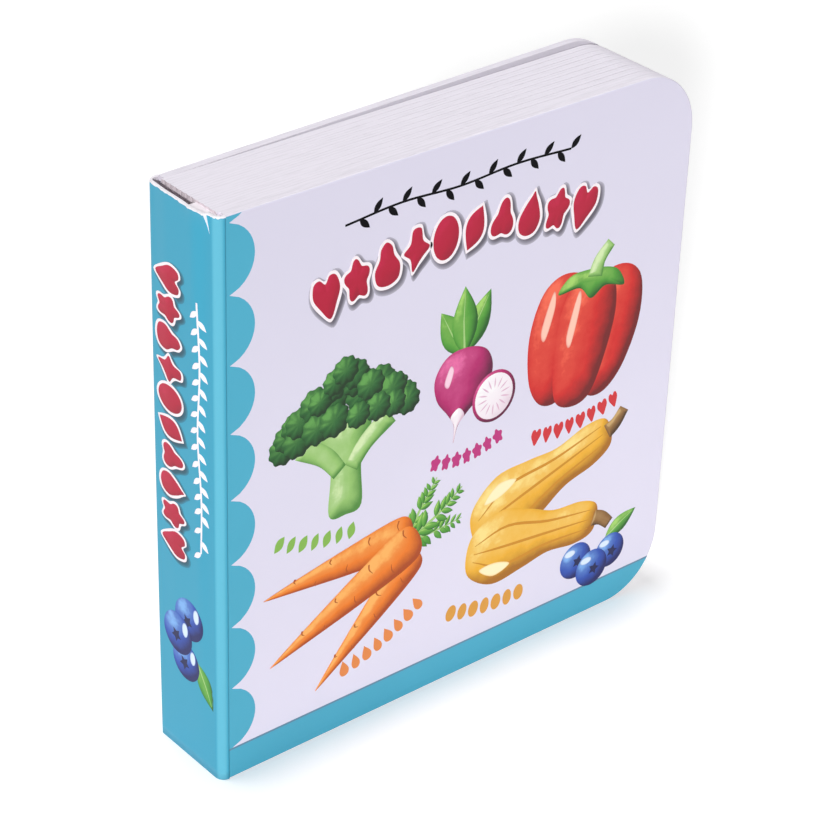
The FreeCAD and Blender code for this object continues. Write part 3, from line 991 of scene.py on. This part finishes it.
class BOARDBOOK_OT_wrap(bpy.types.Operator):
    """Bend the spine card, with the bow, the tear and the worn rim it has at the head"""

    bl_idname = "board_book.wrap"
    bl_label = "Spine Card"

    def execute(self, context):
        colours = context.scene.board_book_colours
        draws = random.Random(3)
        last = len(CARD_HEIGHTS) - 1
        vertices, bends = [], []
        for level, height in enumerate(CARD_HEIGHTS):
            line = card_line(height)
            for side in (0, 1):
                for point in line:
                    ragged = draws.uniform(*RAGGED) if level == last - 1 and side == 0 else 0.0
                    place = Vector((point[side].x, point[side].y, height + ragged))
                    vertices.append(NEAR_CORNER + place * MM)
                    bends.append(point[2])
        across = len(line)
        film, worn, inside = 0, 1, 2
        faces, kinds = [], []
        for level in range(last):
            low = 2 * across * level
            high = low + 2 * across
            torn = CARD_HEIGHTS[level] > BOOK_HEIGHT - TEAR_LENGTH
            for place in range(across - 1):
                outer = (low + place, high + place, high + place + 1, low + place + 1)
                faces += [outer, tuple(across + corner for corner in reversed(outer))]
                kinds += [worn if level == last - 1 or torn and place == TEAR_PLACE else film, inside]
            for end, way in ((0, 1), (across - 1, -1)):
                faces.append((low + end, low + across + end, high + across + end, high + end)[::way])
                kinds.append(worn)
        for first, way in ((0, 1), (2 * across * last, -1)):
            for place in range(first, first + across - 1):
                faces.append((place, place + 1, place + across + 1, place + across)[::way])
                kinds.append(worn)
        mesh = bpy.data.meshes.new("spine_card")
        mesh.from_pydata(vertices, [], faces)
        mesh.attributes.new("bend", "FLOAT", "POINT").data.foreach_set("value", bends)
        upright = (False, False, True)
        sides = (
            spine_laminate("teal_laminated_spine", tuple(colours.spine), tuple(colours.fold)),
            cut_card("worn_card_edge", linear("#F6F2F8"), upright),
            cut_card("spine_card_inside", linear("#EFE9F2"), upright),
        )
        set_materials(mesh, sides, kinds)
        mesh.polygons.foreach_set("use_smooth", [kind != worn for kind in kinds])
        mesh.update()
        card = add_object("spine_card", mesh)
        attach(card, "block")
        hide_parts("spine_panel")
        return {"FINISHED"}


class BOARDBOOK_OT_border(bpy.types.Operator):
    """Print the scalloped border and the band along the tail on both covers"""

    bl_idname = "board_book.border"
    bl_label = "Border and Band"

    def execute(self, context):
        sizes = context.scene.board_book_sizes
        colours = context.scene.board_book_colours
        teal = flat_ink("teal_ink", tuple(colours.teal))
        line = flat_ink("band_line_ink", tuple(colours.band_line))
        for name, face in (("front_border", front_face()), ("back_border", back_face())):
            picture = Picture(name, face)
            picture.shape(scallop_outline(sizes), teal)
            picture.shape(band_outline(sizes, sizes.band_height / MM), line)
            picture.shape(band_outline(sizes, (sizes.band_height - sizes.band_line) / MM), teal)
            picture.finish()
        return {"FINISHED"}


def scallop_outline(sizes):
    """The border from tail to head: one arc after another, all with their roots on one line."""
    rim = sizes.bare_rim / MM
    root = sizes.scallop_root / MM
    pitch = sizes.scallop_pitch / MM
    depth = sizes.scallop_depth / MM
    foot = sizes.band_height / MM
    top = BOOK_HEIGHT - rim
    radius = (pitch**2 / 4 + depth**2) / (2 * depth)
    heart = root + depth - radius
    outline = [Vector((CREASE, rim)), Vector((root, rim))]
    height = foot
    while height < top:
        middle = height + pitch / 2
        steps = 16
        for step in range(steps):
            rise = -pitch / 2 + pitch * step / steps
            if middle + rise >= top:
                break
            outline.append(Vector((heart + math.sqrt(radius**2 - rise**2), middle + rise)))
        height += pitch
    rise = top - (height - pitch / 2)
    if abs(rise) < pitch / 2:
        outline.append(Vector((heart + math.sqrt(radius**2 - rise**2), top)))
    outline.append(Vector((CREASE, top)))
    return outline


CORNER_RADIUS = 12.0


def band_outline(sizes, high):
    """The band from the crease to the fore edge, cut by the rounded corner."""
    rim = sizes.bare_rim / MM
    radius = CORNER_RADIUS - rim
    centre = Vector((BOOK_WIDTH - CORNER_RADIUS, CORNER_RADIUS))
    outline = [Vector((CREASE, rim)), Vector((centre.x, rim))]
    last = math.asin((centre.y - high) / radius)
    steps = 14
    for step in range(1, steps + 1):
        turn = -math.pi / 2 + (math.pi / 2 - last) * step / steps
        outline.append(centre + radius * Vector((math.cos(turn), math.sin(turn))))
    outline.append(Vector((CREASE, high)))
    return outline


GARLAND_MIDDLE = Vector((48.4, -21.7))
GARLAND_RADIUS = 111.0
GARLAND_HALF_SWEEP = 14.2
SPINE_GARLAND_TOP = Vector((5.45, 91.3))
SPINE_GARLAND_PITCH = 5.45


class BOARDBOOK_OT_garlands(bpy.types.Operator):
    """Print a garland and a sprig over the front cover's pictures and down the spine"""

    bl_idname = "board_book.garlands"
    bl_label = "Garlands"

    def execute(self, context):
        sizes = context.scene.board_book_sizes
        colours = context.scene.board_book_colours
        crimson = printed_ink("crimson_ink", "#820526", "#B20632", "#C01140")
        white = flat_ink("white_ink", linear("#FAF1F6"))
        black = flat_ink("black_ink", tuple(colours.black), 0.05)
        line = sizes.outline_width / MM
        picture = Picture("front_garland", front_face())
        sprig = [(24.5, 97.6), (36, 98.4), (48, 97.8), (60, 98.4), (72, 97.8)]
        draw_sprig(picture, sprig, 2.9, black)
        places = []
        count = len(GARLAND_SHAPES)
        for number in range(count):
            angle = GARLAND_HALF_SWEEP - 2 * GARLAND_HALF_SWEEP * number / (count - 1)
            turn = math.radians(90 + angle)
            at = GARLAND_MIDDLE + GARLAND_RADIUS * Vector((math.cos(turn), math.sin(turn)))
            places.append((at, angle - 4))
        shade = faded_ink("front_shade_ink", "#DBD7E9", "#3B3440")
        draw_garland(picture, places, 5.4, 7.9, line, Vector((0.45, -0.5)), (crimson, white, shade))
        picture.finish()
        picture = Picture("spine_garland", SpineFace())
        down = Vector((0, -SPINE_GARLAND_PITCH))
        places = [(SPINE_GARLAND_TOP + down * number, -90) for number in range(count)]
        shade = faded_ink("spine_shade_ink", "#379FBE", "#1E3D4C")
        draw_garland(picture, places, 4.7, 6.6, line * 0.85, Vector((0.5, -0.3)), (crimson, white, shade))
        sprig = [(13.1, 90.0), (13.5, 78), (12.8, 66), (13.4, 54), (13.1, 44)]
        draw_sprig(picture, sprig, 2.3, white, 0.34)
        picture.finish()
        return {"FINISHED"}


class BOARDBOOK_OT_vegetables(bpy.types.Operator):
    """Print the vegetables on the front cover"""

    bl_idname = "board_book.vegetables"
    bl_label = "Vegetables"

    def execute(self, context):
        draws = random.Random(7)
        face = front_face()
        broccoli = Picture("print_broccoli", face)
        draw_broccoli(broccoli, (25.5, 61.5), 0.98, draws)
        broccoli.finish()
        radishes = Picture("print_radishes", face)
        for angle, long, wide in ((120, 11, 5.2), (64, 12, 5.4), (92, 13, 5.6)):
            draw_leaf(radishes, (50.5, 66), angle, long, wide)
        draw_radish(radishes, (50.5, 61.5), -8, 0.95)
        draw_cut_radish(radishes, (57.6, 55.5), 10, 0.85)
        radishes.finish()
        pepper = Picture("print_pepper", face)
        draw_pepper(pepper, (78, 61), -9, 1.02)
        pepper.finish()
        carrots = Picture("print_carrots", face)
        for angle, reach in ((2, 12.5), (58, 12.5), (30, 14)):
            draw_frond(carrots, (39, 33), angle, reach, draws)
        for at, angle, long, wide in (
            ((40.5, 35), 183, 31, 7.6),
            ((41.5, 30.5), 223, 29, 7.2),
            ((42, 33.4), 204, 34, 8.4),
        ):
            draw_carrot(carrots, at, angle, long, wide, draws)
        carrots.finish()
        squashes = Picture("print_squashes", face)
        draw_squash(squashes, (70, 33.5), 17, 0.98)
        draw_squash(squashes, (68.5, 22.5), -7, 0.92, flip=True)
        squashes.finish()
        berries = Picture("print_berries", face)
        draw_berries(berries, (84.5, 12.2), 0.88)
        berries.finish()
        return {"FINISHED"}


class BOARDBOOK_OT_small_rows(bpy.types.Operator):
    """Print a row of small shapes beside each vegetable"""

    bl_idname = "board_book.small_rows"
    bl_label = "Small Rows"

    def execute(self, context):
        picture = Picture("print_small_rows", front_face())
        for name, hex_value, outline, start, end, rise, count in (
            ("green_ink", "#86B84E", LEAF, (12, 43.2), (27, 40.2), -0.8, 7),
            ("magenta_ink", "#BE2F7C", BLOSSOM, (45, 46.5), (59, 47), -1.2, 7),
            ("red_ink", "#D22C33", HEART, (68, 43.4), (86.5, 44.6), -1.0, 8),
            ("gold_ink", "#DE9C3C", DISC, (50, 13.6), (66, 11.6), -0.6, 7),
            ("orange_ink", "#E98A45", DROP, (26, 12.2), (42, 19.2), -1.0, 8),
        ):
            row_ink = flat_ink(name, linear(hex_value))
            draw_small_row(picture, outline, start, end, rise, count, 1.65, row_ink)
        picture.finish()
        return {"FINISHED"}


class BOARDBOOK_OT_spine_berries(bpy.types.Operator):
    """Print the berries at the foot of the spine"""

    bl_idname = "board_book.spine_berries"
    bl_label = "Spine Berries"

    def execute(self, context):
        picture = Picture("spine_berries", SpineFace())
        draw_berries(picture, (8.75, 24.0), 0.92, -90)
        picture.finish()
        return {"FINISHED"}


# The strip of glue, in millimetres. It starts inside the front fold, is sunk a little in the card and
# the leaves, and ends on a wavy line.
GLUE_START = 0.75
GLUE_IN_CARD = 0.03
GLUE_IN_LEAVES = 0.1
GLUE_FROM_CREASE = 0.04
GLUE_STEP = 0.05
GLUE_WAVE = 0.4
GLUE_LUMP = 0.12
GLUE_LEVELS = 60
GLUE_STEPS = 14


def inside_at(line, depth):
    """Where the card's inside is at a depth."""
    for before, after in zip(line, line[1:]):
        if before.y <= depth <= after.y and after.y > before.y:
            return before.x + (after.x - before.x) * (depth - before.y) / (after.y - before.y)
    return line[-1].x


class BOARDBOOK_OT_glue(bpy.types.Operator):
    """Lay the strip of dried glue between the spine and the leaves"""

    bl_idname = "board_book.glue"
    bl_label = "Dried Glue"

    def execute(self, context):
        low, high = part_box("spine_glue")
        leaves = (high.x - NEAR_CORNER.x) / MM + GLUE_IN_LEAVES
        cover = CREASE - GLUE_FROM_CREASE
        draws = random.Random(11)
        phases = [draws.uniform(0, 2 * math.pi) for _ in range(3)]
        vertices = []
        for level in range(GLUE_LEVELS + 1):
            share = level / GLUE_LEVELS
            height = (low.z + (high.z - low.z) * share) / MM
            card = [point[1] for point in card_line(height)]
            waves = [math.sin(share * (9 + 7 * number) + phase) for number, phase in enumerate(phases)]
            end = (high.y - NEAR_CORNER.y) / MM + GLUE_WAVE * sum(waves) / 3
            ring = []
            for step in range(GLUE_STEPS + 1):
                depth = GLUE_START + (end - GLUE_START) * step / GLUE_STEPS
                ring.append((inside_at(card, depth) - GLUE_IN_CARD, depth))
            ring += [(leaves, end), (leaves, COVER + GLUE_STEP)]
            ring += [(cover, COVER - GLUE_STEP), (cover, GLUE_START)]
            for x, y in ring:
                lump = draws.uniform(-1, 1) * GLUE_LUMP if level in (0, GLUE_LEVELS) else 0.0
                vertices.append(NEAR_CORNER + Vector((x, y, height + lump)) * MM)
        around = len(ring)
        faces = []
        for row in range(0, GLUE_LEVELS * around, around):
            above = row + around
            for step in range(around):
                after = (step + 1) % around
                faces.append((row + step, above + step, above + after, row + after))
        faces.append(tuple(range(around)))
        faces.append(tuple(GLUE_LEVELS * around + step for step in reversed(range(around))))
        mesh = bpy.data.meshes.new("glue_strip")
        mesh.from_pydata(vertices, [], faces)
        mesh.update()
        mesh.materials.append(dried_glue())
        strip = add_object("glue_strip", mesh)
        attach(strip, "block")
        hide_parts("spine_glue")
        return {"FINISHED"}


def dried_glue():
    """Hot-melt glue: milky and satin, with a few brown scorched specks."""
    material, tree, shader = new_material("dried_hot_melt_glue", 0.5, 1.48)
    place = add_node(tree, "ShaderNodeTexCoord").outputs["Object"]
    specks = add_node(tree, "ShaderNodeTexVoronoi", {"Vector": place, "Scale": per_mm(1.9)})
    colour_surface(tree, shader, specks, [(0.1, linear("#A5705F")), (0.22, linear("#F0E8EE"))])
    lumps = add_node(tree, "ShaderNodeTexNoise", {"Vector": place, "Scale": per_mm(1.2), "Detail": 2.0})
    bump = add_node(tree, "ShaderNodeBump", {"Height": lumps, "Strength": 0.8, "Distance": 0.2 * MM})
    tree.links.new(bump.outputs["Normal"], shader.inputs["Normal"])
    return material


CAMERA_PLACE = NEAR_CORNER + Vector((-205.7, -287.04, 282.61)) * MM
CAMERA_AIM = NEAR_CORNER + Vector((48.28, 9.84, 50.51)) * MM
CAMERA_ROLL = 2.007
CAMERA_LENS = 115.14
CAMERA_SENSOR = 36.0
FLOOR_REACH = 3.0
# The share of plain white that the camera sees on the floor, over its lit white.
FLOOR_LIFT = 0.2


class BOARDBOOK_OT_stage(bpy.types.Operator):
    """Set the camera, the pale floor and the studio light"""

    bl_idname = "board_book.stage"
    bl_label = "Stage"

    def execute(self, context):
        scene = context.scene
        lens = bpy.data.cameras.new("camera")
        lens.lens = CAMERA_LENS
        lens.sensor_width = CAMERA_SENSOR
        camera = add_object("camera", lens)
        camera.location = CAMERA_PLACE
        look = (CAMERA_AIM - CAMERA_PLACE).to_track_quat("-Z", "Y")
        roll = Matrix.Rotation(math.radians(CAMERA_ROLL), 4, "Z")
        camera.matrix_world = Matrix.Translation(CAMERA_PLACE) @ look.to_matrix().to_4x4() @ roll
        scene.camera = camera

        floor_mesh = bpy.data.meshes.new("floor")
        ways = ((-1, -1), (1, -1), (1, 1), (-1, 1))
        corners = [(FLOOR_REACH * x, FLOOR_REACH * y, 0) for x, y in ways]
        floor_mesh.from_pydata(corners, [], [(0, 1, 2, 3)])
        floor_mesh.materials.append(studio_paper())
        floor = add_object("floor", floor_mesh)

        self.add_lights()
        set_world(scene)
        scene.view_settings.view_transform = "Standard"
        return {"FINISHED"}

    def add_lights(self):
        """A low key from beside the camera, a high light that grounds the book, and a soft fill."""
        for name, towards, strength, softness in (
            ("key", Vector((-0.70, -0.627, 0.34)), 2.4, 5.0),
            ("top", Vector((-0.045, 0.055, 0.9975)), 1.45, 8.0),
            ("fill", Vector((0.55, 0.75, 0.38)), 0.7, 50.0),
        ):
            light = bpy.data.lights.new(name, "SUN")
            light.energy = strength
            light.angle = math.radians(softness)
            lamp = add_object(name, light)
            lamp.rotation_euler = towards.to_track_quat("Z", "Y").to_euler()


def camera_or_gloss(tree):
    """The light path, and 1 for what the camera sees straight or in a gloss."""
    path = add_node(tree, "ShaderNodeLightPath")
    rays = {0: path.outputs["Is Camera Ray"], 1: path.outputs["Is Glossy Ray"]}
    return path, add_node(tree, "ShaderNodeMath", rays, operation="MAXIMUM")


def studio_paper():
    """Matt white studio paper, which the camera sees as plain white with the book's soft shadow."""
    material, tree, shader = new_material("white_studio_paper", 0.9)
    shader.inputs["Base Color"].default_value = linear("#F8F8F8")
    seen = camera_or_gloss(tree)[1]
    lift = add_node(tree, "ShaderNodeMath", {0: seen, 1: FLOOR_LIFT}, operation="MULTIPLY")
    glow = add_node(tree, "ShaderNodeEmission", {"Color": (1, 1, 1, 1), "Strength": lift})
    both = add_node(tree, "ShaderNodeAddShader", {0: shader, 1: glow})
    tree.links.new(both.outputs["Shader"], tree.nodes["Material Output"].inputs["Surface"])
    return material


def set_world(scene):
    """White to the camera, in gloss and through anything clear, and a plain pale light on the book."""
    scene.world = bpy.data.worlds.new("studio")
    scene.world.use_nodes = True
    tree = scene.world.node_tree
    path, seen = camera_or_gloss(tree)
    rays = {0: seen, 1: path.outputs["Is Transmission Ray"]}
    clear = add_node(tree, "ShaderNodeMath", rays, operation="MAXIMUM")
    strength = add_node(tree, "ShaderNodeMapRange", {"Value": clear, "To Min": 0.16, "To Max": 1.0})
    background = tree.nodes["Background"]
    background.inputs["Color"].default_value = (1, 1, 1, 1)
    tree.links.new(strength.outputs["Result"], background.inputs["Strength"])


OPERATORS = (
    BOARDBOOK_OT_card,
    BOARDBOOK_OT_wrap,
    BOARDBOOK_OT_border,
    BOARDBOOK_OT_garlands,
    BOARDBOOK_OT_vegetables,
    BOARDBOOK_OT_small_rows,
    BOARDBOOK_OT_spine_berries,
    BOARDBOOK_OT_glue,
    BOARDBOOK_OT_stage,
)


class BOARDBOOK_PT_panel(bpy.types.Panel):
    """Sizes, colours and steps of the board book"""

    bl_idname = "BOARDBOOK_PT_panel"
    bl_label = "Board Book"
    bl_space_type = "VIEW_3D"
    bl_region_type = "UI"
    bl_category = "Board Book"

    def draw(self, context):
        for group in (context.scene.board_book_sizes, context.scene.board_book_colours):
            box = self.layout.box()
            for name in group.__annotations__:
                box.prop(group, name)
        for operator in OPERATORS:
            self.layout.operator(operator.bl_idname)


CLASSES = (BoardBookSizes, BoardBookColours, *OPERATORS, BOARDBOOK_PT_panel)


def register():
    for cls in CLASSES:
        bpy.utils.register_class(cls)
    bpy.types.Scene.board_book_sizes = bpy.props.PointerProperty(type=BoardBookSizes)
    bpy.types.Scene.board_book_colours = bpy.props.PointerProperty(type=BoardBookColours)


def unregister():
    del bpy.types.Scene.board_book_colours
    del bpy.types.Scene.board_book_sizes
    for cls in reversed(CLASSES):
        bpy.utils.unregister_class(cls)


def main():
    """Registers the add-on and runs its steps."""
    register()
    for operator in OPERATORS:
        family, step = operator.bl_idname.split(".")
        getattr(getattr(bpy.ops, family), step)()


if __name__ == "__main__":
    main()
